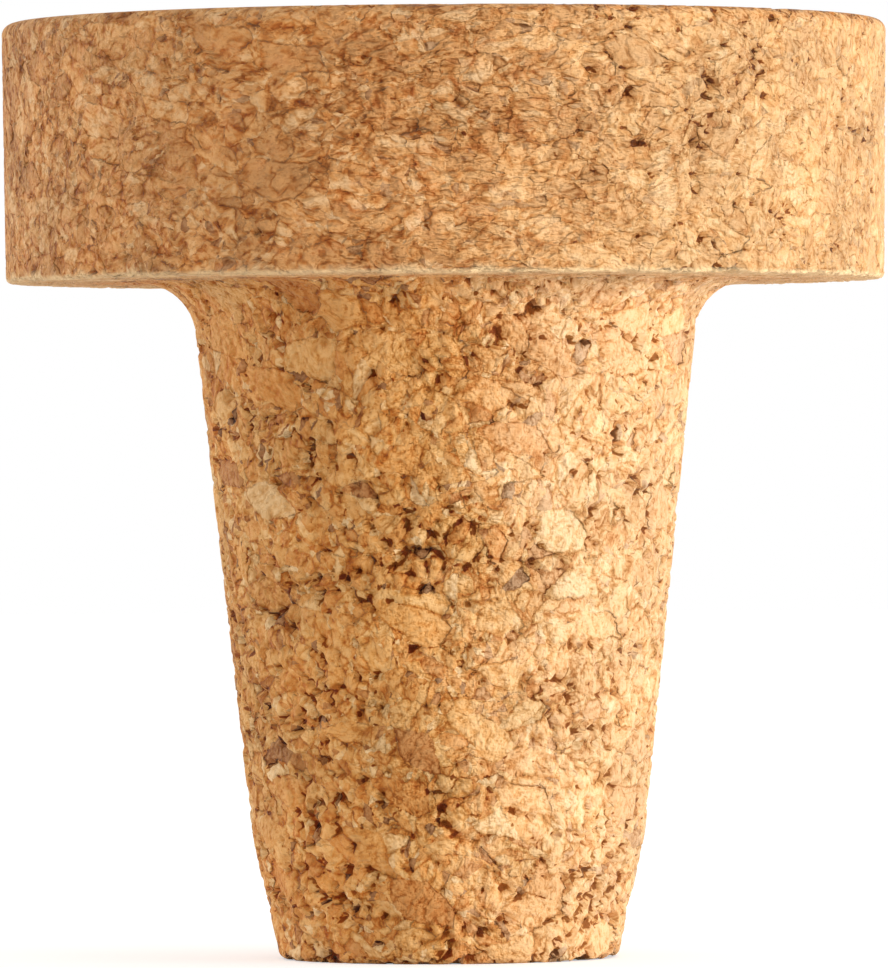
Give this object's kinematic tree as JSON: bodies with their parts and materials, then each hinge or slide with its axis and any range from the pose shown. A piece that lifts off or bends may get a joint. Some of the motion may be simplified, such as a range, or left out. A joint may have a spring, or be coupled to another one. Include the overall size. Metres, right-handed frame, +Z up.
{
  "type": "cork stopper",
  "caption": "One-piece bonded-cork stopper: a flat round head on a tapered plug, with a filleted shoulder and a steeper lead-in at the tip.",
  "frame": {"origin": "centre of the plug's end face, on which the stopper stands", "axes": "+Z up the stopper's axis, from the plug's end face to the head's top face; X and Y across it, which the round form leaves free"},
  "size_m": [0.045, 0.045, 0.0476],
  "materials": {
    "bonded_cork": "matte bonded cork granules, cream to tan with brown bark flecks, open pits between granules on the plug, ground finer on the head"
  },
  "bodies": {
    "root": {"cork_stopper": "bonded_cork"}
  },
  "joints": []
}
